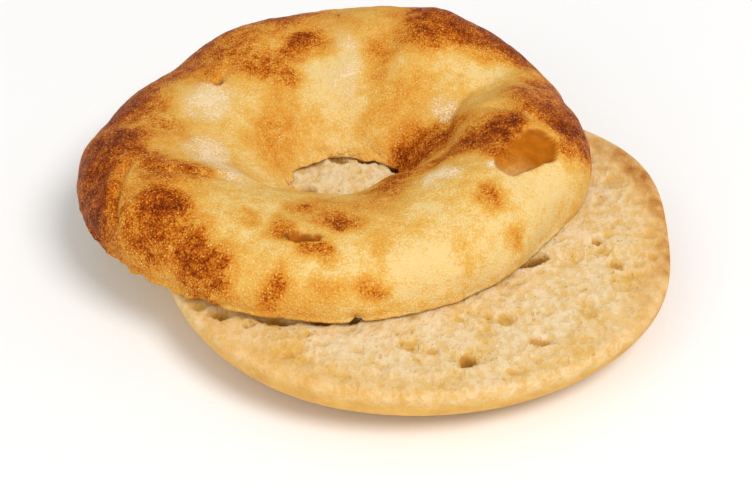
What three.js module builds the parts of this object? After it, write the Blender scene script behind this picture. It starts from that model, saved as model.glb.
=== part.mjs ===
// A ring bagel cut across into two halves. The lower half lies on its flat foot with the cut face up, and the
// upper half rests flat on it, cut face down, pushed back and to the left.
// Millimetres, +Z up. The origin is the middle of the whole thing's box, on the surface that it stands on.
import * as THREE from "three";
import { mergeVertices } from "three/addons/utils/BufferGeometryUtils.js";

// Driving dimensions of the whole bagel.
const RIM_RADIUS = 54.9; // cut rim, on average
const LOWER_HEIGHT = 13; // foot to cut face
const UPPER_HEIGHT = 19; // cut face to the crown, on average
const HOLE_CENTRE = new THREE.Vector2(5, -5); // from the middle of the rim
const HOLE_RADIUS = 9.5; // at the cut
const UPPER_SHIFT = new THREE.Vector2(-19.3, 21.6); // how far the upper half has slid on the lower one
const REST_GAP = 0.3; // crumb to crumb

// Lower half: its side curls in below the cut, and its hole widens downwards.
const SIDE_CURL = 16;
const HOLE_FLARE = 5;
const RIM_DROP = 0.8; // the cut face falls away this much at the rim
const RIM_DROP_WIDTH = 0.22; // share of the ring's width over which it falls

// How finely the faceted solids follow the bread: round the ring, and for each half over its crust and across
// its cut face.
const RING_STEPS = 64;
const UPPER_STEPS = { crust: 16, cut: 5 };
const LOWER_STEPS = { crust: 12, cut: 9 };

// A value that changes smoothly round the ring, from samples at equal angles, the first at +X, anticlockwise.
function roundTheRing(samples) {
  const points = samples.map((value) => new THREE.Vector3(value, 0, 0));
  const curve = new THREE.CatmullRomCurve3(points, true, "catmullrom", 0.5);
  return (angle) => {
    const turns = angle / (2 * Math.PI);
    return curve.getPoint(turns - Math.floor(turns)).x;
  };
}

// Every 30 degrees: how far the rim is outside or inside its average radius.
const rimOffset = roundTheRing([-1.8, 1.7, -0.8, -1.5, -2.5, -4, -1, 0, 1, 0.3, 0.2, 0.2]);
// The hole is wider than it is deep, and a little lopsided.
const holeOffset = roundTheRing([2, 1, -1, -1.6, -0.4, 1.8, 3, 1.4, -0.4, -0.8, 0, 1]);
// The upper half: height of the crown, where it stands between hole and rim, and how far its side bulges out.
const crownOffset = roundTheRing([-2, -5, 0, -4.3, -4.5, -7.5, -7.5, -4.5, -5, -6, -4, -3]);
const crownPlace = roundTheRing([0.64, 0.68, 0.7, 0.68, 0.66, 0.64, 0.66, 0.66, 0.62, 0.6, 0.6, 0.62]);
const sideBulge = roundTheRing([2.2, 1.5, 0.5, 0, 0, 0, 0.4, 1, 1, 1, 1.4, 2]);

// Swellings and hollows in the crown: place on the plan from the middle of the rim, the way that they run in
// degrees from +X, height, and half-widths along and across that way.
const CROWN_FORMS = [
  { at: [12, 20], turn: 78, height: -2.2, long: 20, wide: 4.5 }, // valley running back from the hole
  { at: [4, 24], turn: 88, height: 1, long: 16, wide: 4 }, // low ridge beside it
  { at: [30, 8], turn: 52, height: -2.6, long: 17, wide: 5 }, // pinched crease, right of the hole
  { at: [40, -12], turn: 70, height: 1.5, long: 14, wide: 9 }, // big bubble in front of the crease
  { at: [-24, -12], turn: 20, height: -1.6, long: 12, wide: 7 }, // floury hollow, left of the hole
  { at: [-34, 27], turn: 50, height: -2.6, long: 12, wide: 8 }, // dent in the left shoulder
];

// Cheeks and pinches in the upper half's side: place round the ring and half-width in degrees, and how far out.
const SIDE_FORMS = [
  { at: -8, out: 3.5, wide: 13 }, // the big bubble's cheek
  { at: -34, out: -1.6, wide: 13 },
  { at: 26, out: -1.5, wide: 14 },
  { at: 70, out: -1.2, wide: 10 },
  { at: 98, out: 1.2, wide: 10 },
  { at: 137, out: -1.5, wide: 10 },
  { at: 170, out: -1.6, wide: 13 },
  { at: 208, out: 0.4, wide: 8 },
  { at: 236, out: -1.2, wide: 12 },
];

const polar = (radius, angle) => new THREE.Vector2(radius * Math.cos(angle), radius * Math.sin(angle));

const rimPoint = (angle) => polar(RIM_RADIUS + rimOffset(angle), angle);

// The upper half's rim, which has its own cheeks.
function upperRimPoint(angle) {
  let out = 0;
  for (const form of SIDE_FORMS) {
    const away = THREE.MathUtils.euclideanModulo(THREE.MathUtils.radToDeg(angle) - form.at + 180, 360) - 180;
    out += form.out * Math.exp(-((away / form.wide) ** 2));
  }
  return rimPoint(angle).add(polar(out, angle));
}

const holePoint = (angle, extra) => polar(HOLE_RADIUS + holeOffset(angle) + extra, angle).add(HOLE_CENTRE);

// What the forms add to the crown at a point on the plan.
function formHeight(point) {
  let height = 0;
  for (const form of CROWN_FORMS) {
    const turn = THREE.MathUtils.degToRad(form.turn);
    const away = point.clone().sub(new THREE.Vector2(...form.at)).rotateAround(new THREE.Vector2(), -turn);
    height += form.height * Math.exp(-((away.x / form.long) ** 2) - (away.y / form.wide) ** 2);
  }
  return height;
}

// The crust of the upper half, from the rim (turn 0) over the crown to the hole (turn 1).
function upperCrust(angle, turn) {
  const swing = Math.PI * turn;
  const crown = crownPlace(angle);
  const outer = turn < 0.5;
  const reach = Math.abs(Math.cos(swing)) ** (outer ? 0.95 : 1.25);
  const place = outer ? crown + (1 - crown) * reach : crown - crown * reach;
  const rise = Math.sin(swing) ** (outer ? 0.95 : 1.35);
  const plan = holePoint(angle, 0).lerp(upperRimPoint(angle), place);
  const bulge = outer ? sideBulge(angle) * Math.sin(2 * swing) : 0;
  plan.add(polar(bulge, angle));
  const height = (UPPER_HEIGHT + crownOffset(angle) + formHeight(plan)) * rise;
  return new THREE.Vector3(plan.x, plan.y, height);
}

const upperCut = (angle, turn) => {
  const plan = holePoint(angle, 0).lerp(upperRimPoint(angle), turn);
  return new THREE.Vector3(plan.x, plan.y, 0);
};

// The crust of the lower half, from the hole (turn 0) under the foot to the rim (turn 1).
function lowerCrust(angle, turn) {
  const inner = holePoint(angle, 0);
  const rim = rimPoint(angle);
  const footInner = holePoint(angle, HOLE_FLARE);
  const footRim = polar(rim.length() - SIDE_CURL, angle);
  const third = 3 * turn;
  if (third < 1) {
    const swing = (third * Math.PI) / 2;
    const plan = inner.lerp(footInner, 1 - Math.cos(swing));
    return new THREE.Vector3(plan.x, plan.y, LOWER_HEIGHT * (1 - Math.sin(swing)));
  }
  if (third <= 2) {
    const plan = footInner.lerp(footRim, third - 1);
    return new THREE.Vector3(plan.x, plan.y, 0);
  }
  const swing = ((third - 2) * Math.PI) / 2;
  const plan = footRim.lerp(rim, Math.sin(swing));
  return new THREE.Vector3(plan.x, plan.y, (LOWER_HEIGHT - RIM_DROP) * (1 - Math.cos(swing)));
}

const lowerCut = (angle, turn) => {
  const plan = rimPoint(angle).lerp(holePoint(angle, 0), turn);
  const drop = RIM_DROP * Math.max(0, 1 - turn / RIM_DROP_WIDTH) ** 2;
  return new THREE.Vector3(plan.x, plan.y, LOWER_HEIGHT - drop);
};

// A closed ring of bread. A plain lathed ring gives the facets, and each of its corners then goes where the
// crust or the cut face is, both functions of the angle and of the turn along them, anticlockwise in section.
function ringSolid(crust, cut, count) {
  const steps = count.crust + count.cut;
  const profile = [];
  for (let i = 0; i <= steps; i++) {
    const swing = ((i % steps) / steps) * 2 * Math.PI;
    profile.push(polar(1, swing).add(new THREE.Vector2(3, 0)));
  }
  const geometry = new THREE.LatheGeometry(profile, RING_STEPS);
  const position = geometry.getAttribute("position");
  const uv = geometry.getAttribute("uv");
  for (let i = 0; i < position.count; i++) {
    const angle = (Math.round(uv.getX(i) * RING_STEPS) % RING_STEPS) * ((2 * Math.PI) / RING_STEPS);
    const step = Math.round(uv.getY(i) * steps) % steps;
    const onCrust = step < count.crust;
    const point = onCrust ? crust(angle, step / count.crust) : cut(angle, (step - count.crust) / count.cut);
    position.setXYZ(i, point.x, point.y, point.z);
  }
  geometry.deleteAttribute("normal");
  geometry.deleteAttribute("uv");
  const solid = mergeVertices(geometry, 1e-4);
  solid.computeVertexNormals();
  return solid;
}

// Pale gold crust, and the cream of the crumb.
const crust = new THREE.MeshStandardMaterial({ color: 0xe3a850, roughness: 0.6, metalness: 0 });
const crumb = new THREE.MeshStandardMaterial({ color: 0xecd0a0, roughness: 0.85, metalness: 0 });

const upperHalf = new THREE.Mesh(ringSolid(upperCrust, upperCut, UPPER_STEPS), crust);
upperHalf.name = "upper_half";
upperHalf.position.set(UPPER_SHIFT.x, UPPER_SHIFT.y, LOWER_HEIGHT + REST_GAP);

const lowerHalf = new THREE.Mesh(ringSolid(lowerCrust, lowerCut, LOWER_STEPS), crumb);
lowerHalf.name = "lower_half";

const bagel = new THREE.Group();
bagel.add(lowerHalf, upperHalf);

// The origin goes to the middle of the box, on the surface.
const box = new THREE.Box3().setFromObject(bagel, true);
bagel.position.set(-(box.min.x + box.max.x) / 2, -(box.min.y + box.max.y) / 2, -box.min.z);

export default bagel;
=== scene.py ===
"""A sliced ring bagel: the crusty upper half rests, cut face down, on the lower half, cut face up."""

import math

import bmesh
import bpy
import numpy as np
from bpy.props import FloatProperty, FloatVectorProperty, PointerProperty
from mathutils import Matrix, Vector, noise


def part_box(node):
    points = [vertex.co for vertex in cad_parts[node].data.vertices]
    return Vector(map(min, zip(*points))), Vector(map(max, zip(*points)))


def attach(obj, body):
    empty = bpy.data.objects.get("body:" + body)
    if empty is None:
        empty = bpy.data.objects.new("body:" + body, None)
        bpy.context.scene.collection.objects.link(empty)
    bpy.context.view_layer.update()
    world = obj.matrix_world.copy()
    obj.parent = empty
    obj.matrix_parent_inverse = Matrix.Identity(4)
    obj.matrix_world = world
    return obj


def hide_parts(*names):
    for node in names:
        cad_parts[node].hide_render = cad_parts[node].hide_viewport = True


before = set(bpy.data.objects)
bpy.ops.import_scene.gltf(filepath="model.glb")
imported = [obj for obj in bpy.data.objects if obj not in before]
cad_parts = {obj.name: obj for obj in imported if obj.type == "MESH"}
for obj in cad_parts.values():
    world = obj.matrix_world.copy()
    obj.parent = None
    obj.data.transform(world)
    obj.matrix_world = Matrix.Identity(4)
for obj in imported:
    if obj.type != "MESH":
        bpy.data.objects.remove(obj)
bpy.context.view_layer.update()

bl_info = {
    "name": "Sliced Ring Bagel",
    "version": (1, 0, 0),
    "blender": (4, 5, 0),
    "location": "3D View > Sidebar > Bagel",
    "description": "Bakes a ring bagel cut across into two halves, with its crust, its crumb and a stage",
    "category": "Add Mesh",
}

MM = 0.001
WELD = 0.01 * MM  # corners of the plain solid closer than this are one
CORNER = math.radians(50)  # a fold in the plain solid sharper than this is the edge of a cut
REFINE_LEVELS = 3
RING_CORE = 32.0  # mm from the middle of the hole to the middle of the bread
CUT_SKIN = 0.05  # mm above the upper half's cut, below which a place is on the cut itself
FACES_DOWN = -0.8  # a face whose normal's Z is below this is on the cut
RAGGED_SIZE = 3.0  # mm, of the lumps that make an outline ragged
NOISE_SEED = 2  # for noise_vector, which otherwise takes its seed from the clock

# From the middle of each half's box to the middle of its rim, and from there to the middle of the
# hole, in mm.
UPPER_RIM_SHIFT = np.array([-1.65, 0.6, 0])
LOWER_RIM_SHIFT = np.array([0.35, 0.9, 0])
HOLE_SHIFT = np.array([5, -5, 0])


# --------------------------------------------------------------------------------------------------
# Small tools for shapes


def smooth_step(low, high, value):
    """0 below low, 1 above high, and smooth between them."""
    t = np.clip((value - low) / (high - low), 0, 1)
    return t * t * (3 - 2 * t)


def lumps(points, size, octaves, seed):
    """Smooth noise, about -1 to 1, at points in mm, with lumps about `size` mm across."""
    away = Vector((17.3, 9.1, 5.7)) * seed
    return np.array([noise.fractal(Vector(p) / size + away, 1.0, 2.0, octaves) for p in points])


def bubbles(points, size, share, seed):
    """How deep round cups go at points in mm, 0 to 1, about `size` mm apart, a `share` of them open."""
    away = Vector((11.9, 7.7, 3.1)) * seed
    depth = np.zeros(len(points))
    for i, point in enumerate(points):
        distances, centres = noise.voronoi(Vector(point) / size + away)
        for distance, centre in zip(distances[:2], centres[:2]):
            lot = 0.5 + 0.5 * noise.cell(centre * 7.31)
            if lot < share:
                radius = 0.3 + 0.45 * lot / share
                depth[i] = max(depth[i], 1 - (distance / radius) ** 2)
    return depth


def distance_to_line(points, line):
    """For each point, how far it is from a broken line, and where along it the nearest place is, 0 to 1."""
    line = np.array(line, float)
    lengths = np.linalg.norm(np.diff(line, axis=0), axis=1)
    before = np.concatenate([[0], np.cumsum(lengths)])
    best = np.full(len(points), np.inf)
    along = np.zeros(len(points))
    for start, end, length, done in zip(line[:-1], line[1:], lengths, before):
        way = (end - start) / length
        run = np.clip((points - start) @ way, 0, length)
        away = np.linalg.norm(points - start - run[:, None] * way, axis=1)
        nearer = away < best
        best[nearer] = away[nearer]
        along[nearer] = (done + run[nearer]) / before[-1]
    return best, along


def in_ellipse(a, b, size, turn):
    """The same places in half-widths of an ellipse, `size` in mm, that is turned by so many degrees."""
    cos, sin = math.cos(math.radians(turn)), math.sin(math.radians(turn))
    return (a * cos + b * sin) / size[0], (b * cos - a * sin) / size[1]


class Dough:
    """One half's fine mesh, in mm from a middle on its cut, and the strokes that shape and stain it."""

    def __init__(self, name, node, middle, seed, crisp_reach=math.inf):
        noise.seed_set(NOISE_SEED)
        self.name = name
        self.middle = middle
        self.mesh = self.refined(node, crisp_reach)
        self.co = self.read("co") / MM - middle
        self.ragged = lumps(self.co, RAGGED_SIZE, 3, seed)
        self.stains = {}
        self.measure()

    def refined(self, node, crisp_reach):
        """A copy of the CAD node, in quads and smooth, with the cuts' edges crisp out to a reach in mm."""
        bm = bmesh.new()
        bm.from_mesh(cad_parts[node].data)
        bmesh.ops.remove_doubles(bm, verts=bm.verts, dist=WELD)
        any_angle = math.pi
        bmesh.ops.join_triangles(
            bm, faces=bm.faces, angle_face_threshold=any_angle, angle_shape_threshold=any_angle
        )
        crease = bm.edges.layers.float.new("crease_edge")
        for edge in bm.edges:
            away = (edge.verts[0].co / MM - Vector(self.middle)).xy.length
            if edge.calc_face_angle(0) > CORNER and away < crisp_reach:
                edge[crease] = 1
        plain = bpy.data.meshes.new(self.name + "_plain")
        bm.to_mesh(plain)
        bm.free()
        block = bpy.data.objects.new(self.name + "_plain", plain)
        bpy.context.scene.collection.objects.link(block)
        smooth = block.modifiers.new("Smooth", "SUBSURF")
        smooth.levels = smooth.render_levels = REFINE_LEVELS
        graph = bpy.context.evaluated_depsgraph_get()
        mesh = bpy.data.meshes.new_from_object(block.evaluated_get(graph))
        bpy.data.objects.remove(block)
        mesh.name = self.name
        return mesh

    def read(self, what):
        values = np.zeros(len(self.mesh.vertices) * 3, np.float32)
        self.mesh.vertices.foreach_get(what, values)
        return values.reshape(-1, 3).astype(float)

    def measure(self):
        """Puts the moved vertices in the mesh, and works out the normals and the ring coordinates again."""
        self.mesh.vertices.foreach_set("co", ((self.co + self.middle) * MM).astype(np.float32).ravel())
        self.mesh.update()
        self.normal = self.read("normal")
        self.radius = np.hypot(self.co[:, 0], self.co[:, 1])
        self.angle = np.degrees(np.arctan2(self.co[:, 1], self.co[:, 0])) % 360
        self.tilt = np.degrees(np.arctan2(self.co[:, 2], self.radius - RING_CORE))

    def turn_from(self, angle):
        """Each vertex's angle round the ring from a given one, -180 to 180 degrees."""
        return (self.angle - angle + 180) % 360 - 180

    def spot(self, angle, tilt):
        """The vertex of the crust nearest to an angle round the ring and a tilt over it.

        The tilt is 0 at the rim, 90 on top and 180 in the hole.
        """
        off = self.turn_from(angle) ** 2 + (self.tilt - tilt) ** 2
        return int(np.argmin(np.where(self.co[:, 2] < CUT_SKIN, math.inf, off)))

    def fray(self, *waves):
        """Shakes the places that stains are measured from, by waves of a size and a height in mm."""
        self.frayed = self.co.copy()
        for size, height in waves:
            shakes = [noise.noise_vector(Vector(p) / size) for p in self.co]
            self.frayed += height * np.array(shakes)

    def reach(self, angle, tilt, size, turn=0, frayed=False):
        """Distance from a spot, 1 at the edge of an ellipse with half-widths along the ring and over it."""
        centre = self.spot(angle, tilt)
        out = self.normal[centre]
        along = np.array([-math.sin(math.radians(angle)), math.cos(math.radians(angle)), 0])
        over = np.cross(out, along)
        places = self.frayed if frayed else self.co
        away = places - places[centre]
        a, b = in_ellipse(away @ along, away @ over, size, turn)
        return np.sqrt(a**2 + b**2 + (away @ out / max(size)) ** 2)

    def swell(self, angle, tilt, size, height, where=1):
        """Raises, or with a negative height sinks, a soft round place along the normal."""
        lift = height * np.exp(-1.5 * self.reach(angle, tilt, size) ** 2) * where
        self.co += self.normal * lift[:, None]

    def groove(self, spots, width, depth, where):
        """Sinks a furrow along a line of spots, shallower at its ends."""
        line = [self.co[self.spot(*spot)] for spot in spots]
        away, along = distance_to_line(self.co, line)
        ends = np.sin(np.pi * np.clip(along, 0.02, 0.98)) ** 0.6
        self.co -= self.normal * (depth * ends * np.exp(-((away / width) ** 2)) * where)[:, None]

    def stain(self, kind, angle, tilt, size, strength, turn=0):
        """Paints one patch of a kind, strongest in the middle and ragged towards its edge."""
        patch = strength * np.exp(-0.95 * self.reach(angle, tilt, size, turn, frayed=True) ** 2.8)
        known = self.stains.get(kind, 0 * patch)
        self.stains[kind] = known + patch * (1 - np.clip(known, 0, 1))

    def keep_stains(self):
        """Writes the stains into the mesh, where the materials read them."""
        for kind, amount in self.stains.items():
            layer = self.mesh.attributes.new(kind, "FLOAT", "POINT")
            layer.data.foreach_set("value", amount.astype(np.float32))


# --------------------------------------------------------------------------------------------------
# Small tools for materials


class Signal:
    """A shader socket that Python's arithmetic works on: each operator adds its Math node."""

    def __init__(self, recipe, socket):
        self.recipe = recipe
        self.socket = socket

    def math(self, operation, *values, clamp=False):
        settings = {"operation": operation, "use_clamp": clamp}
        return self.recipe.node("ShaderNodeMath", settings, dict(enumerate(values)))

    def __add__(self, other):
        return self.math("ADD", self, other)

    def __sub__(self, other):
        return self.math("SUBTRACT", self, other)

    def __rsub__(self, other):
        return self.math("SUBTRACT", other, self)

    def __mul__(self, other):
        return self.math("MULTIPLY", self, other)

    __radd__ = __add__
    __rmul__ = __mul__

    def clamped(self):
        return self.math("ADD", self, 0, clamp=True)

    def between(self, low, high):
        """0 below low and 1 above high, or the other way round where low is the larger."""
        settings = {"interpolation_type": "SMOOTHSTEP"}
        return self.recipe.node("ShaderNodeMapRange", settings, {0: self, 1: low, 2: high})


class Recipe:
    """A material's node tree, filled by one method. A material that is there already is made anew."""

    def __init__(self, name):
        self.material = bpy.data.materials.get(name) or bpy.data.materials.new(name)
        self.material.use_nodes = True
        self.tree = self.material.node_tree
        self.tree.nodes.clear()

    def node(self, kind, settings=None, inputs=None, output=0):
        """Adds a node: its settings first, a ramp's stops among them, then its sockets' values or links."""
        made = self.tree.nodes.new(kind)
        for key, value in (settings or {}).items():
            if key == "stops":
                ramp = made.color_ramp
                while len(ramp.elements) < len(value):
                    ramp.elements.new(1)
                for element, (spot, tone) in zip(ramp.elements, value):
                    element.position = spot
                    element.color = (*tone, 1)
            else:
                setattr(made, key, value)
        for key, value in (inputs or {}).items():
            socket = made.inputs[key]
            if isinstance(value, Signal):
                self.tree.links.new(value.socket, socket)
            elif socket.type == "RGBA" and len(value) == 3:
                socket.default_value = (*value, 1)
            else:
                socket.default_value = value
        return Signal(self, made.outputs[output]) if made.outputs else None

    def place_mm(self, stretch=(1, 1, 1)):
        """Object coordinates in millimetres, each multiplied by its stretch."""
        at = self.node("ShaderNodeTexCoord", output="Object")
        return self.node("ShaderNodeMapping", {}, {"Vector": at, "Scale": tuple(s / MM for s in stretch)})

    def stain(self, kind):
        return self.node("ShaderNodeAttribute", {"attribute_name": kind}, output="Fac")

    def noise(self, at, size, detail=2.0):
        return self.node("ShaderNodeTexNoise", {}, {"Vector": at, "Scale": 1 / size, "Detail": detail})

    def cells(self, at, size, output="Distance"):
        return self.node("ShaderNodeTexVoronoi", {}, {"Vector": at, "Scale": 1 / size}, output=output)

    def noise_vector(self, at, size):
        """Noise in each direction, about -0.2 to 0.2 of its size."""
        shake = self.node("ShaderNodeTexNoise", {}, {"Vector": at, "Scale": 1 / size}, "Color")
        values = {0: shake, 1: (size,) * 3, 2: (-size / 2,) * 3}
        return self.node("ShaderNodeVectorMath", {"operation": "MULTIPLY_ADD"}, values)

    def pores(self, at, size, share):
        """1 in round pores with crisp edges, 0 between them. About `share` of the cells have one."""
        lot = self.node("ShaderNodeSeparateColor", {}, {0: self.cells(at, size, "Color")})
        room = (share - lot) * 0.9
        return (room - self.cells(at, size)).between(-0.1, 0.1)

    def mix(self, factor, one, other):
        """A colour from `one` to `other`."""
        settings = {"data_type": "RGBA", "clamp_factor": True}
        return self.node("ShaderNodeMix", settings, {0: factor, 6: one, 7: other}, output=2)

    def ramp(self, factor, places, tones):
        """The colours of a ramp, each tone at its place."""
        stops = [(place, tuple(tone)) for place, tone in zip(places, tones)]
        return self.node("ShaderNodeValToRGB", {"stops": stops}, {0: factor})

    def bump(self, height, depth_mm):
        return self.node("ShaderNodeBump", {}, {"Height": height, "Distance": depth_mm * MM})

    def finish(self, **sockets):
        """The surface shader. Names are its sockets with _ for a space."""
        inputs = {key.replace("_", " "): value for key, value in sockets.items()}
        surface = self.node("ShaderNodeBsdfPrincipled", {}, inputs, output="BSDF")
        self.node("ShaderNodeOutputMaterial", {}, {"Surface": surface})
        return self.material


# --------------------------------------------------------------------------------------------------
# Settings that a user would change


def colour(name, description, default):
    return FloatVectorProperty(
        name=name, description=description, default=default, subtype="COLOR", size=3, min=0, max=1
    )


def power(name, description, default):
    return FloatProperty(name=name, description=description, default=default, min=0, unit="POWER")


class BagelCrustSettings(bpy.types.PropertyGroup):
    cream: colour("Cream", "Crust that the oven hardly touched", (0.78, 0.56, 0.23))
    pale: colour("Pale", "Lightly baked crust", (0.74, 0.44, 0.1))
    gold: colour("Gold", "Evenly baked crust", (0.68, 0.32, 0.043))
    orange: colour("Orange", "Where a patch begins to toast", (0.61, 0.215, 0.019))
    rust: colour("Rust", "Toasted patches", (0.45, 0.105, 0.004))
    brown: colour("Brown", "Well toasted patches", (0.26, 0.042, 0.002))
    # Also, at 0.7 of it, the painted shade in the crust's hollows and pinholes.
    dark: colour("Dark", "The middle of the darkest patches", (0.10, 0.015, 0.001))
    # Also the cream of specks on pale crust, which are partly painted glints.
    flour: colour("Flour", "Flour left in the hollows", (0.88, 0.68, 0.43))
    glaze: colour("Glaze", "The smooth skin inside a burst blister", (0.52, 0.145, 0.004))
    grain: FloatProperty(
        name="Grain",
        description="Width of the fine blisters",
        default=0.5 * MM,
        min=0.2 * MM,
        unit="LENGTH",
    )


class BagelCrumbSettings(bpy.types.PropertyGroup):
    cream: colour("Cream", "The crumb's open face", (0.79, 0.62, 0.385))
    honey: colour("Honey", "Moist, glassy crumb", (0.70, 0.42, 0.1))
    # A share of it is also the painted shade in the deepest pits.
    amber: colour("Amber", "The bottom of a burst bubble", (0.48, 0.21, 0.03))
    side: colour("Side", "The thin crust round the lower half", (0.86, 0.53, 0.13))
    foot: colour("Foot", "The underside, baked on the stone", (0.60, 0.29, 0.07))


class BagelStageSettings(bpy.types.PropertyGroup):
    lens: FloatProperty(name="Lens", description="Focal length", default=100, min=1, unit="CAMERA")
    distance: FloatProperty(
        name="Distance",
        description="From the camera to what it looks at",
        default=0.43,
        min=0.05,
        unit="LENGTH",
    )
    elevation: FloatProperty(
        name="Elevation",
        description="How far above the horizon the camera stands",
        default=math.radians(36),
        subtype="ANGLE",
    )
    key_power: power("Key Light", "Soft light from the right, in front and above", 25.5)
    fill_power: power("Fill Light", "Wide light from the left and in front", 10)
    all_round: FloatProperty(
        name="Light All Round", description="Strength of the even light from all sides", default=0.55, min=0
    )
    floor: colour("Floor", "Plain pale floor", (0.93, 0.93, 0.93))


# --------------------------------------------------------------------------------------------------
# Materials


def shade(tone, share):
    """A share of a colour, so a darker one."""
    return tuple(share * part for part in tone)


def crust_material(crust):
    """Crust that the stains toast, flour and glaze, with painted shade in its hollows and pinholes."""
    recipe = Recipe("bagel_crust")
    at = recipe.place_mm()
    toast, flour, glaze, scorch = (recipe.stain(kind) for kind in ("toast", "flour", "glaze", "scorch"))
    grain = crust.grain / MM
    blister = recipe.cells(at, grain)
    lot = recipe.node("ShaderNodeSeparateColor", {}, {0: recipe.cells(at, grain, "Color")}) - 0.5
    clouds = recipe.noise(at, 9, 3) - 0.5
    mottle = recipe.noise(at, 2.4, 4) - 0.5
    speckle = recipe.noise(at, 0.42, 2) - 0.5

    # The toast stain is mostly the bake; a few of its patches add painted shade or painted light.
    toasted = toast.between(0.08, 0.45)
    heat = toast + 0.13 + 0.4 * clouds + (0.35 + 0.45 * toasted) * mottle
    heat = heat + (0.45 + 0.55 * toasted) * speckle + (0.1 + 0.2 * toasted) * lot
    # Paler specks on the fine blisters: partly the crust's own cream grains, partly painted glints. They
    # lift toasted crust towards gold and pale crust towards the flour's cream.
    speck_and_glint = lot.between(0.1, 0.4) * blister.between(0.6, 0.2)
    heat = heat - (0.12 + 0.42 * toasted) * speck_and_glint
    tones = (crust.cream, crust.pale, crust.gold, crust.orange, crust.rust, crust.brown, crust.dark)
    baked = recipe.ramp(heat, (0.0, 0.1, 0.27, 0.45, 0.61, 0.8, 1.0), tones)
    surface = recipe.mix(0.3 * speck_and_glint * (1 - toasted), baked, tuple(crust.flour))
    # Flour lies in specks, thickest in the middle of its patch.
    dusty = flour.between(0.05, 0.3) * (flour - 0.45 + 3.6 * speckle + 1.8 * mottle).between(-0.3, 0.45)
    surface = recipe.mix(0.85 * dusty, surface, tuple(crust.flour))
    amber = recipe.mix((2 * mottle + 0.5).clamped(), tuple(crust.glaze), shade(crust.glaze, 0.6))
    surface = recipe.mix(glaze, surface, amber)
    # Painted shade: near-black in the slit, in the pit, the nick and the pinholes, and under the fold over
    # the burst blister.
    surface = recipe.mix(scorch, surface, shade(crust.dark, 0.7))

    rough = 1 - glaze
    height = rough * (0.7 * blister.between(0.8, 0.0) + 0.5 * mottle + 0.8 * speckle + 0.4 * dusty)
    return recipe.finish(
        Base_Color=surface,
        Roughness=0.6 + 0.2 * dusty - 0.15 * toast - 0.2 * glaze,
        Normal=recipe.bump(height, 0.14),
        Subsurface_Weight=0.1,
        Subsurface_Radius=(1.0, 0.45, 0.15),
        Subsurface_Scale=0.8 * MM,
        Specular_IOR_Level=0.05,
    )


def crumb_material(crumb, crust):
    """Open crumb, which turns to thin crust where the stain "side" says so."""
    recipe = Recipe("bagel_crumb")
    at = recipe.place_mm((1, 0.62, 1))  # the crumb is drawn out a little from front to back
    pit, side, toast = (recipe.stain(kind) for kind in ("pit", "side", "toast"))
    clouds = recipe.noise(at, 5.5, 3) - 0.5
    sponge = recipe.noise(at, 1.6, 3) - 0.5
    fine = recipe.noise(at, 0.4, 2) - 0.5
    tufts = recipe.noise(at, 1.2, 4).between(0.38, 0.58)
    shake = recipe.noise_vector(at, 1.2)
    shaken = recipe.node("ShaderNodeVectorMath", {"operation": "ADD"}, {0: at, 1: shake})
    open_share = (0.26 + clouds) * (1 - side)
    pores = recipe.pores(shaken, 1.0, open_share) + recipe.pores(shaken, 2.1, 0.7 * open_share)
    damp = 0.6 - 0.42 * tufts + 1.6 * clouds + 0.6 * sponge + 0.6 * fine
    damp = damp + 0.7 * pit + 0.3 * side + 0.5 * pores
    open_face = recipe.mix(damp.clamped(), tuple(crumb.cream), tuple(crumb.honey))
    deep = (pit - 0.55) * 1.6 + 0.35 * pores * (0.5 + 2 * sponge) + 0.6 * sponge
    open_face = recipe.mix(deep, open_face, tuple(crumb.amber))
    # The deepest pits, torn gaps and pockets turn a dark amber: painted shade.
    open_face = recipe.mix(0.7 * pit.between(1.05, 1.5), open_face, shade(crumb.amber, 0.4))

    heat = toast + 0.5 * clouds + 0.3 * sponge + 0.3 * fine + 0.12
    baked = recipe.ramp(heat, (0.0, 0.5, 1.0), (crumb.side, crumb.foot, crust.brown))
    height = (1 - 0.6 * side) * (0.5 * tufts + 0.5 * sponge + 0.5 * fine - 0.8 * pores)
    return recipe.finish(
        Base_Color=recipe.mix(side, open_face, baked),
        Roughness=0.8 - 0.15 * side,
        Normal=recipe.bump(height, 0.28),
        Subsurface_Weight=0.4,
        Subsurface_Radius=(1.0, 0.6, 0.25),
        Subsurface_Scale=1.8 * MM,
        Specular_IOR_Level=0.1,
    )
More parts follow.
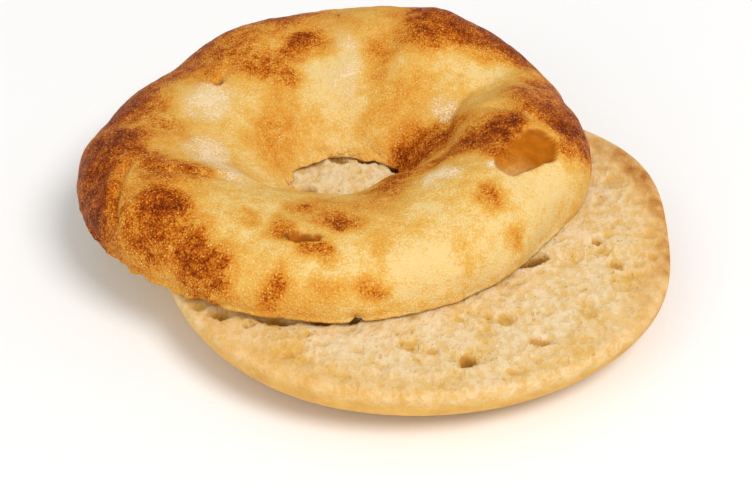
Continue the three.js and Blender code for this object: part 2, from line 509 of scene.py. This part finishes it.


# --------------------------------------------------------------------------------------------------
# The two halves

# Toasted patches of the upper half: angle, tilt, half-widths along the ring and over it in mm, strength and
# turn. A strength below 0 leaves the crust paler. Some patches also carry painted shade or painted light,
# as noted.
TOAST_AND_PAINTED_LIGHT = [
    (195, 50, (24, 16), 0.1, 0),  # the left side is warmer all over
    (222, 36, (14, 16), 0.14, 0),
    (128, 40, (22, 9), 0.32, 0),  # and so is the far crest, darker partly with painted shade, as it faces away from the light
    (135, 22, (24, 6), 0.5, 0),
    (106, 26, (16, 5), 0.4, 0),
    (95, 50, (20, 7), 0.15, 0),
    (8, 122, (8, 12), 0.12, 0),  # the crease on the right
    (240, 8, (20, 5), 0.17, 0),  # and the near rim
    (290, 70, (18, 16), -0.06, 0),  # the near side is paler
    (295, 22, (14, 6), -0.12, 0),
    (328, 36, (12, 12), -0.16, 0),
    (262, 38, (4, 4), -0.16, 0),
    # The hole's left and far slopes face the light and are made paler: partly painted light.
    (165, 112, (14, 9), -0.07, 0),
    (105, 125, (16, 14), -0.12, 0),
    (238, 66, (12, 8), -0.16, 0),
    (60, 72, (8, 5), 0.5, 0),  # cap on the far right shoulder
    (66, 82, (6, 5), 0.3, 0),
    (79, 94, (4, 6), 0.36, 0),
    (75, 135, (2.5, 9), 0.2, 0),
    (65, 54, (9, 6), 0.6, 0),
    (54, 52, (8, 6), 0.66, 0),
    (48, 36, (12, 5), 0.66, 0),
    (44, 22, (14, 6), 0.76, 0),
    (60, 36, (10, 7), 0.7, 0),
    (40, 62, (9, 6), -0.14, 0),
    (13, 64, (5, 4.5), 0.52, 0),  # right shoulder
    (18, 46, (8, 5), 0.5, 0),
    (4, 46, (8, 6), 0.5, 0),
    (356, 34, (6, 6), 0.62, 0),
    (10, 28, (12, 7), 0.66, 0),
    (354, 49, (5, 4), 0.6, 0),
    (351, 92, (6.5, 6.5), 0.6, 0),  # over the burst blister
    (345, 98, (5, 5), 0.36, 0),
    (343, 83, (4.5, 3), 0.5, 0),
    (5, 60, (6, 5), 0.5, 0),
    (358, 54, (5, 4), 0.4, 0),
    (347, 46, (3, 3), 0.4, 0),
    (356, 80, (4, 2), 0.36, 0),
    (108, 72, (5.5, 4), 0.85, 0),  # far side
    (107, 40, (9, 4), 0.45, 0),
    (127, 87, (5, 4.5), 0.5, 0),
    (121, 112, (6, 5), 0.5, 0),
    (143, 147, (5, 6), 0.25, 0),
    (131, 50, (5, 4.5), 0.34, 0),
    (143, 58, (5, 4), 0.2, 0),  # left shoulder
    # The outer left edge, from here to (200, 12), is toasted and darkened further with painted shade, as
    # that side faces away from the light.
    (158, 24, (11, 6), 0.68, 0),
    (168, 42, (7, 4), 0.32, 0),
    (163, 20, (10, 7), 0.66, 0),
    (180, 34, (6, 6), 0.6, 0),
    (187, 18, (12, 9), 0.82, 0),
    (200, 12, (10, 9), 0.86, 0),
    (213, 10, (8, 5), 0.14, 0),
    (204, 47, (6, 3), 0.25, 0),
    (174, 59, (4, 4), 0.36, 0),
    (196, 52, (9, 3), 0.42, 15),  # streak on the fold
    (206, 76, (6, 2.5), 0.4, 0),
    (218, 43, (5, 4.6), 0.8, 0),  # near side, left
    (216, 30, (6, 6), 0.36, 0),
    (222, 26, (5, 6), 0.5, 0),
    (232, 26, (4.5, 7), 0.56, 15),
    (239, 21, (3.5, 5), 0.5, 0),
    (251, 60, (3.5, 3.4), 0.56, 0),  # round the slit blister
    (261, 50, (4.2, 3), 0.6, 0),
    (268, 77, (4, 2.8), 0.58, 0),
    (262, 92, (9, 5), 0.12, 0),
    (252, 100, (3.5, 2), 0.32, 0),
    (240, 60, (2.4, 2.2), 0.3, 0),
    (237, 5, (6, 3), 0.3, 0),
    (254, 22, (2.4, 4.4), 0.46, 0),
    (276, 20, (4.6, 2.4), 0.4, 0),
    (265, 24, (3, 2.6), 0.28, 0),
    (279, 49, (1.5, 5), 0.2, 0),
    (300, 33, (2.5, 5), 0.14, 0),
    (270, 112, (14, 5), 0.2, 0),  # rim of the hole
    (294, 138, (6, 4), 0.6, 0),
    (312, 146, (6, 4), 0.55, 0),
    (166, 165, (4, 6), 0.2, 0),  # slopes of the hole
    # The hole's right wall is toasted and darker still with painted shade, as it faces away from the light.
    (12, 160, (6, 9), 0.7, 0),
    (60, 135, (4, 8), 0.22, 0),
    (336, 126, (6, 4), 0.45, 0),
    (322, 134, (6, 3.5), 0.42, 0),
    (317, 67, (3.5, 2.6), 0.45, 0),
    (316, 26, (2.4, 3), 0.3, 0),
]

# Flour in the hollows, in the same words.
FLOUR = [
    (152, 76, (6, 5), 0.8, 0),
    (188, 101, (6, 4.5), 0.75, 0),
    (201, 108, (11, 4), 0.8, 0),
    (313, 112, (4, 2), 0.8, 0),
    (328, 82, (1.8, 1.4), 0.9, 0),
    (31, 130, (5, 2.6), 0.75, 0),
    (92, 115, (3, 12), 0.4, 0),
]

TOAST_LIMIT = 0.8
STAIN_WAVES = ((9, 2.4), (3.5, 1.3), (1.4, 0.35))  # that make the patches ragged: size and height in mm

# Spots of painted shade in the crust's hollows and under a fold, in the same words.
PIT_SPOT = (143, 66)  # in the left shoulder
NICK_SPOT = (272, 1)  # in the near rim
PAINTED_SHADE_SPOTS = [
    (252.5, 58, (1.2, 0.7), 0.8, 0),  # in the slit
    (256, 56, (3, 0.5), 0.5, 12),
    (351, 81, (2.2, 0.5), 0.7, 0),  # under the fold over the burst blister
    (*PIT_SPOT, (1.3, 1.0), 1, 0),
    (*NICK_SPOT, (0.8, 0.9), 0.5, 0),
]

# Pinholes in the crust, painted only as dots of shade: angle and tilt.
PINHOLES = [(94, 48), (5, 68), (14, 172), (297, 137)]
PINHOLE_SIZE = (0.45, 0.45)

# The burst blister: its wide end and its narrow end, and how far out it reaches round each, in mm.
CRATER_ENDS = ((343, 62), (333, 72))
CRATER_REACH = (4.9, 3.7)
# The slit blister: angle, tilt, half-widths and turn.
SLIT = (256.5, 59, (3.9, 1.5), 12)

# Burst bubbles in the lower half's cut face: place from the middle of the rim, half-widths and depth, all
# in mm, and turn.
PITS = [
    (9, -44, (2.3, 1.9), 1.9, 40),
    (42, 17, (3.2, 2.8), 1.0, 0),
    (37, -5, (1.3, 1.2), 2.0, 0),
    (46, 22, (1.7, 1.4), 0.9, 0),
    (40, -13, (1.8, 1.7), 1.1, 0),
    (23, -38, (2.4, 1.6), 1.6, 0),
    (17, -31, (2.0, 1.8), 1.2, 0),
    (2, -41, (1.3, 1.2), 1.2, 0),
    (-3, -39, (2.4, 1.5), 0.8, 10),
    (-16, -50, (1.2, 1.0), 0.5, 0),
    (18, -47, (2.0, 1.2), 0.9, 5),
    (27, -45, (1.9, 1.5), 1.0, 30),
    (48, -10, (1.2, 1.5), 0.8, 0),
    (8, -31, (1.6, 1.0), 0.7, 0),
    (13, -30, (1.0, 0.9), 0.7, 0),
    (23, -12, (4.2, 1.7), 3, 30),  # torn gaps along the upper half's edge, their dark colour partly painted shadow from that edge
    (13, -20, (2, 1), 2, 30),
    (7, -24.5, (2.6, 1), 2, 20),
    (-5, -28.5, (2, 1.4), 2, 0),
    (-13, -30.5, (2.4, 1.4), 2.2, 10),
    (-19, -31.5, (2, 1.2), 1.8, 0),
    (-28, -31.9, (4, 1.4), 2.2, -6),
    (-34, -32.5, (1.4, 0.9), 1.8, 0),
    (-39.5, -29.4, (3, 1.3), 2.6, -15),
    (-45, -26.6, (2.4, 1.2), 2.2, -20),
    (-25, -41, (3.6, 2.6), 0.6, 30),
    (-4, 22, (2.4, 2.4), 3, 0),  # torn pockets that show through the upper half's hole, their dark colour partly painted shade under that half
    (-10, 25, (3, 1.4), 2.4, 0),
    (-17, 25.5, (1.8, 1.2), 2, 0),
    (-24, 13, (2, 1.8), 2.6, 0),
]
# What shows of the cut face through the upper half's hole is torn: from the middle of the rim to there,
# and how far it reaches, in mm.
UPPER_HOLE = np.array([-15, 20, 0])
UPPER_HOLE_REACH = 11

# Where the lower half's rim is baked more, the right and the near left: angle and half-width in degrees,
# how much of it is crust, and how toasted.
BAKED_RIM = [(8, 50, 1.0, 0.5), (235, 38, 0.55, 0.14)]


def lump_crust(dough, crust):
    """The dough's uneven rise, from broad lumps to small ones."""
    rise = 0.5 * lumps(dough.co, 14, 2, seed=1) + 0.2 * lumps(dough.co, 5, 2, seed=2)
    rise += 0.07 * lumps(dough.co, 1.8, 2, seed=3)
    dough.co += dough.normal * (rise * crust)[:, None]


def fray_rims(dough):
    """The knife left the rim and the hole uneven. The rim's near left is ragged and a little lifted."""
    height, angle = dough.co[:, 2], dough.angle
    rim = np.exp(-((height / 2.5) ** 2)) * smooth_step(34, 42, dough.radius)
    hole_reach = 1 - smooth_step(15, 21, dough.radius)
    near_left = smooth_step(196, 204, angle) * (1 - smooth_step(238, 246, angle))
    lifted = smooth_step(228, 238, angle) * (1 - smooth_step(252, 268, angle))
    bite = 0.35 * lumps(dough.co, 6, 2, seed=6) + 0.3 * lumps(dough.co, 2.2, 2, seed=9)
    bite += near_left * (0.8 * lumps(dough.co, 2.6, 2, seed=7) - 0.5)
    outwards = dough.co / dough.radius[:, None] * np.array([1, 1, 0])
    dough.co += outwards * (rim * bite)[:, None]
    dough.co[:, 2] += 0.9 * rim * lifted
    hole_rim = np.exp(-((dough.co[:, 2] / 2) ** 2)) * hole_reach
    dough.co += outwards * (hole_rim * 1.1 * lumps(dough.co, 2.4, 2, seed=11))[:, None]
    dough.measure()


def fold_crust(dough, crust):
    """Folds and creases in the crust, and what swells and sinks between them."""
    dough.groove([(315, 125), (350, 136), (22, 130), (34, 97), (33, 45)], 1.5, 0.5, crust)
    dough.groove([(196, 40), (204, 59), (211, 88), (221, 110), (236, 128)], 1.3, 1.0, crust)
    dough.groove([(12, 114), (8, 98), (3, 84), (355, 70), (357, 48)], 1.1, 0.8, crust)
    dough.groove([(194, 40), (201, 34), (204, 29), (208, 25), (211, 20), (209, 10)], 1.0, 1.7, crust)
    dough.groove([PIT_SPOT, (137, 64), (133, 60)], 1.2, 0.6, crust)
    dough.measure()
    dough.swell(10, 74, (9, 3.5), 0.9, crust)  # pale ridge over the burst blister
    dough.swell(212, 40, (4, 9), 0.8, crust)  # full cheek behind the left fold
    dough.swell(20, 112, (13, 6), 1.4, crust)  # the crease is filled a little
    dough.swell(46, 63, (4, 2.6), 0.7, crust)  # smooth pale blister on the far right
    dough.swell(*PIT_SPOT, (1.2, 1.1), -1.4, crust)
    dough.swell(*NICK_SPOT, (1.2, 1.2), -1.2)
    dough.swell(208, 158, (9, 9), -3.6, crust)  # the hole's near edge is low on the left
    dough.swell(308, 158, (7, 6), 1.6, crust)  # and full on the right
    dough.measure()


def burst_blisters(dough):
    """A smooth, sharp-edged hollow under a fold on the right, and a slit on the near side, both glazed."""
    ends = [dough.co[dough.spot(*spot)] for spot in CRATER_ENDS]
    away, along = distance_to_line(dough.co, ends)
    wide, narrow = CRATER_REACH
    reach = away / (wide + (narrow - wide) * along) * (1 + 0.1 * dough.ragged)
    depth = (1.9 - 0.9 * np.clip(reach, 0, 1) ** 2) * (1 - smooth_step(0.78, 1.0, reach))
    dough.co -= dough.normal * depth[:, None]
    glaze = (1 - smooth_step(0.88, 1.0, reach)) * (1 - 0.4 * smooth_step(0.3, 1, along))

    slit = dough.reach(*SLIT) * (1 + 0.5 * dough.ragged)
    dough.co -= dough.normal * (1.5 * (1 - smooth_step(0.5, 1.05, slit)))[:, None]
    dough.stains["glaze"] = np.maximum(glaze, 1 - smooth_step(0.8, 1.0, slit))
    dough.measure()


def toast_crust(dough):
    """Painted shade in hollows and pinholes, toasted patches and flour."""
    for kind, patches in (("scorch", PAINTED_SHADE_SPOTS), ("toast", TOAST_AND_PAINTED_LIGHT), ("flour", FLOUR)):
        for angle, tilt, size, strength, turn in patches:
            dough.stain(kind, angle, tilt, size, strength, turn)
    for spot in PINHOLES:
        dough.stain("scorch", *spot, PINHOLE_SIZE, 0.9)
    # Patches that overlap don't get darker without end.
    toast = dough.stains["toast"]
    dough.stains["toast"] = toast / (1 + (np.clip(toast, 0, None) / TOAST_LIMIT) ** 4) ** 0.25


def open_crumb(dough):
    """The cut face of the lower half: tears, bubbles and the larger pits, all of them downwards."""
    cut = smooth_step(-2.0, -0.9, dough.co[:, 2]) * smooth_step(0.3, 0.8, dough.normal[:, 2])
    cut *= 1 - smooth_step(50, 54, dough.radius)
    flat = dough.co * np.array([1, 1, 0])
    shaken = flat + 0.7 * np.array([noise.noise_vector(Vector(p) / 1.8) for p in flat])
    wide = bubbles(shaken, 6, 0.2, seed=1)
    small = bubbles(shaken, 2.6, 0.3, seed=2)
    torn = 0.25 * lumps(flat, 9, 2, seed=5) + 0.12 * lumps(flat, 2.4, 2, seed=6)
    under_hole = np.exp(-((flat - UPPER_HOLE) ** 2).sum(1) / UPPER_HOLE_REACH**2)
    torn += under_hole * (0.7 * lumps(flat, 2.6, 3, seed=8) + 0.3)
    depth = 0.35 - torn + 0.7 * wide + 0.6 * small
    pit = 0.4 * wide + 0.4 * small
    for x, y, size, deep, turn in PITS:
        a, b = in_ellipse(flat[:, 0] - x, flat[:, 1] - y, size, turn)
        reach = np.hypot(a, b) * (1 + 0.35 * dough.ragged)
        cup = np.sqrt(np.clip(1 - reach**2, 0, 1))
        depth += deep * cup
        pit += (0.3 + 0.4 * deep) * smooth_step(0, 0.9, cup)
    dough.co[:, 2] -= np.clip(depth, 0, None) * cut
    dough.stains["pit"] = np.clip(pit, 0, 1.5) * cut


def bake_side(dough):
    """Thin crust round the side of the lower half and on its foot, which is toasted."""
    height = dough.co[:, 2]
    side = 1 - smooth_step(-6, -1.5, height + 1.2 * dough.stains["pit"])
    side *= smooth_step(20, 30, dough.radius)
    toast = 0.55 * (1 - smooth_step(-13, -11.3, height))
    for angle, half_width, crusty, toasted in BAKED_RIM:
        arc = np.exp(-((dough.turn_from(angle) / half_width) ** 2)) * (1 + 0.5 * dough.ragged)
        rim = smooth_step(43, 53, dough.radius) * arc
        side = np.clip(side + crusty * rim, 0, 1)
        toast += toasted * rim
    dough.stains["side"] = side
    dough.stains["toast"] = toast
    dough.measure()


def place(dough, material, node, slot, cut_material=None):
    """Makes the piece from its dough: its material, the one on a cut that faces down, and its place."""
    dough.keep_stains()
    mesh = dough.mesh
    mesh.materials.clear()
    mesh.materials.append(material)
    if cut_material:
        mesh.materials.append(cut_material)
    for face in mesh.polygons:
        face.use_smooth = True
        face.material_index = 1 if cut_material and face.normal.z < FACES_DOWN else 0
    piece = bpy.data.objects.new(dough.name, mesh)
    bpy.context.scene.collection.objects.link(piece)
    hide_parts(node)
    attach(piece, "root")


class BAGEL_OT_upper_half(bpy.types.Operator):
    """Bakes the upper half: crust on top with its folds, blisters and toasted patches, cut face down"""

    bl_idname = "bagel.upper_half"
    bl_label = "Upper Half"
    bl_options = {"REGISTER", "UNDO"}

    def execute(self, context):
        low, high = (np.array(corner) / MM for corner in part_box("upper_half"))
        middle = (low + high) / 2 + UPPER_RIM_SHIFT + HOLE_SHIFT
        middle[2] = low[2]
        dough = Dough("upper_half_crust", "upper_half", middle, seed=4)
        dough.fray(*STAIN_WAVES)
        crust = smooth_step(CUT_SKIN, 1.0, dough.co[:, 2])
        lump_crust(dough, crust)
        fray_rims(dough)
        fold_crust(dough, crust)
        burst_blisters(dough)
        toast_crust(dough)
        dough.stains["pit"] = dough.stains["side"] = 0 * crust  # the cut underneath is plain crumb

        scene = context.scene
        crust_finish = crust_material(scene.bagel_crust)
        crumb_finish = crumb_material(scene.bagel_crumb, scene.bagel_crust)
        place(dough, crust_finish, "upper_half", "crust", cut_material=crumb_finish)
        return {"FINISHED"}


class BAGEL_OT_lower_half(bpy.types.Operator):
    """Bakes the lower half: open crumb on top, thin pale crust round the side and under the foot"""

    bl_idname = "bagel.lower_half"
    bl_label = "Lower Half"
    bl_options = {"REGISTER", "UNDO"}

    def execute(self, context):
        low, high = (np.array(corner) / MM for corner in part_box("lower_half"))
        middle = (low + high) / 2 + LOWER_RIM_SHIFT
        middle[2] = high[2]
        dough = Dough("lower_half_crumb", "lower_half", middle, seed=14, crisp_reach=30)
        open_crumb(dough)
        bake_side(dough)

        scene = context.scene
        crumb_finish = crumb_material(scene.bagel_crumb, scene.bagel_crust)
        place(dough, crumb_finish, "lower_half", "crumb")
        return {"FINISHED"}


# --------------------------------------------------------------------------------------------------
# The stage

AIM = Vector((1.0, -18.25, 14.0)) * MM  # what the camera looks at
SENSOR = 36  # mm
FLOOR_SIZE = 3  # m, from the middle to each side
# Each light is a disk that faces that place, and its way points from there to it. Metres.
KEY_LIGHT = {"way": (0.42, -0.42, 0.82), "distance": 2.0, "size": 1.0, "tint": (1.0, 0.98, 0.95)}
FILL_LIGHT = {"way": (-0.6, -0.8, 0.4), "distance": 2.0, "size": 1.8, "tint": (1.0, 0.99, 0.98)}


def area_light(name, power, way, distance, size, tint):
    data = bpy.data.lights.new(name, "AREA")
    data.shape = "DISK"
    data.size = size
    data.energy = power
    data.color = tint
    lamp = bpy.data.objects.new(name, data)
    way = Vector(way).normalized()
    lamp.location = AIM + way * distance
    lamp.rotation_euler = way.to_track_quat("Z", "Y").to_euler()
    bpy.context.scene.collection.objects.link(lamp)


class BAGEL_OT_stage(bpy.types.Operator):
    """Sets up the pale floor, the soft lights and the camera"""

    bl_idname = "bagel.stage"
    bl_label = "Stage"
    bl_options = {"REGISTER", "UNDO"}

    def execute(self, context):
        stage = context.scene.bagel_stage
        bm = bmesh.new()
        bmesh.ops.create_grid(bm, x_segments=1, y_segments=1, size=FLOOR_SIZE)
        mesh = bpy.data.meshes.new("floor")
        bm.to_mesh(mesh)
        bm.free()
        pale = Recipe("stage_floor").finish(
            Base_Color=tuple(stage.floor), Roughness=0.8, Specular_IOR_Level=0.1
        )
        mesh.materials.append(pale)
        floor = bpy.data.objects.new("floor", mesh)
        context.scene.collection.objects.link(floor)

        area_light("key", stage.key_power, **KEY_LIGHT)
        area_light("fill", stage.fill_power, **FILL_LIGHT)

        world = bpy.data.worlds.new("studio")
        world.use_nodes = True
        background = world.node_tree.nodes["Background"]
        background.inputs["Color"].default_value = (1, 1, 1, 1)
        background.inputs["Strength"].default_value = stage.all_round
        context.scene.world = world
        context.scene.view_settings.view_transform = "Standard"

        data = bpy.data.cameras.new("camera")
        data.lens = stage.lens
        data.sensor_width = SENSOR
        data.clip_start = 0.01
        camera = bpy.data.objects.new("camera", data)
        back = Vector((0, -math.cos(stage.elevation), math.sin(stage.elevation)))
        camera.location = AIM + back * stage.distance
        camera.rotation_euler = back.to_track_quat("Z", "Y").to_euler()
        context.scene.collection.objects.link(camera)
        context.scene.camera = camera
        return {"FINISHED"}


# --------------------------------------------------------------------------------------------------
# Panel and start


class BAGEL_PT_sidebar(bpy.types.Panel):
    """Lists what the bagel is made of"""

    bl_idname = "BAGEL_PT_sidebar"
    bl_label = "Sliced Ring Bagel"
    bl_space_type = "VIEW_3D"
    bl_region_type = "UI"
    bl_category = "Bagel"

    def draw(self, context):
        for group, operator in (
            (context.scene.bagel_crust, BAGEL_OT_upper_half),
            (context.scene.bagel_crumb, BAGEL_OT_lower_half),
            (context.scene.bagel_stage, BAGEL_OT_stage),
        ):
            box = self.layout.box()
            for key in group.__annotations__:
                box.prop(group, key)
            box.operator(operator.bl_idname)


CLASSES = (
    BagelCrustSettings,
    BagelCrumbSettings,
    BagelStageSettings,
    BAGEL_OT_upper_half,
    BAGEL_OT_lower_half,
    BAGEL_OT_stage,
    BAGEL_PT_sidebar,
)


def register():
    for cls in CLASSES:
        bpy.utils.register_class(cls)
    bpy.types.Scene.bagel_crust = PointerProperty(type=BagelCrustSettings)
    bpy.types.Scene.bagel_crumb = PointerProperty(type=BagelCrumbSettings)
    bpy.types.Scene.bagel_stage = PointerProperty(type=BagelStageSettings)


def unregister():
    del bpy.types.Scene.bagel_stage
    del bpy.types.Scene.bagel_crumb
    del bpy.types.Scene.bagel_crust
    for cls in reversed(CLASSES):
        bpy.utils.unregister_class(cls)


def main():
    register()
    bpy.ops.bagel.stage()
    bpy.ops.bagel.lower_half()
    bpy.ops.bagel.upper_half()


if __name__ == "__main__":
    main()
